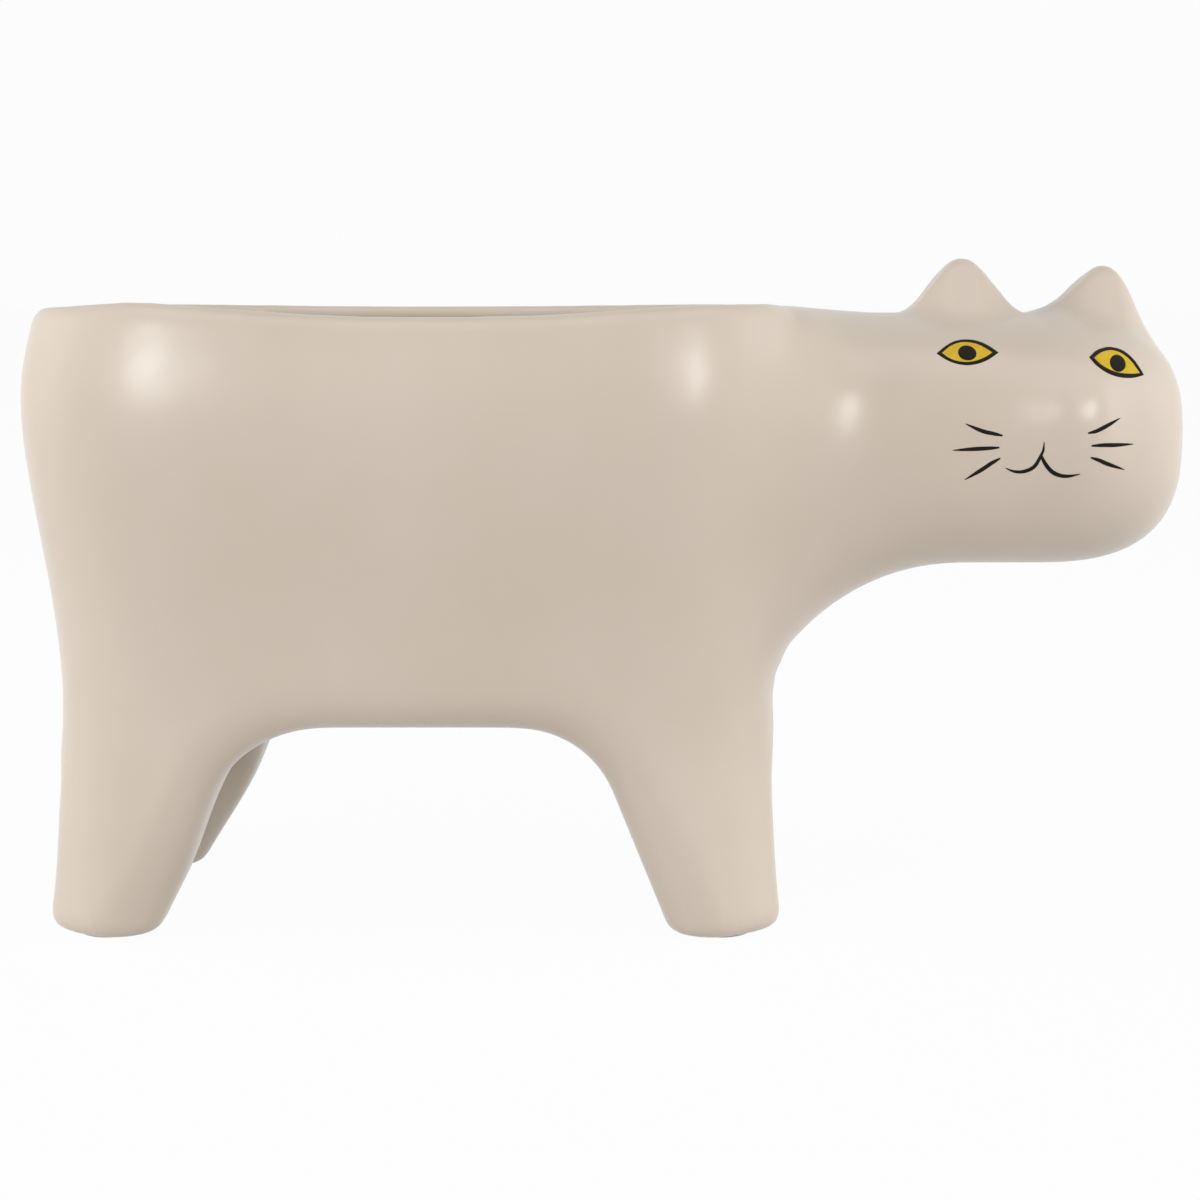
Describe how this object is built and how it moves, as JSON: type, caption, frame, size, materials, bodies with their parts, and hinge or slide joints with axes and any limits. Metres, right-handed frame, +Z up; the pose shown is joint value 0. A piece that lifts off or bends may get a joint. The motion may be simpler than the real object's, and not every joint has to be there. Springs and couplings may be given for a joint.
{
  "type": "animal shaped planter",
  "caption": "Glazed ceramic trough planter shaped as a standing cat, with a turned head, a painted face, a drain stopper and foot pads.",
  "frame": {"origin": "on the floor under the middle of the whole planter's bounding box", "axes": "+X from the tail end to the head, +Y across to the animal's left side, +Z up; the painted face looks towards -Y"},
  "size_m": [0.293, 0.1121, 0.1677],
  "materials": {
    "glaze": "satin gloss, warm grey",
    "black_enamel": "fired enamel line",
    "yellow_enamel": "fired enamel fill",
    "grey_silicone": "matt",
    "clear_silicone": "translucent, matt"
  },
  "bodies": {
    "planter": {"planter_body": "glaze", "head": "glaze", "mouth": "black_enamel", "right_upper_whisker": "black_enamel", "right_middle_whisker": "black_enamel", "right_lower_whisker": "black_enamel", "left_upper_whisker": "black_enamel", "left_middle_whisker": "black_enamel", "left_lower_whisker": "black_enamel", "right_eye_outline": "black_enamel", "right_eye_iris": "yellow_enamel", "right_eye_pupil": "black_enamel", "left_eye_outline": "black_enamel", "left_eye_iris": "yellow_enamel", "left_eye_pupil": "black_enamel", "front_left_foot_pad": "clear_silicone", "front_right_foot_pad": "clear_silicone", "rear_left_foot_pad": "clear_silicone", "rear_right_foot_pad": "clear_silicone"},
    "stopper": {"drain_plug": "grey_silicone"}
  },
  "joints": [
    {"name": "stopper_pull", "type": "slide", "parent": "planter", "child": "stopper", "axis": [0, 0, -1], "range_m": [0, 0.03]}
  ]
}
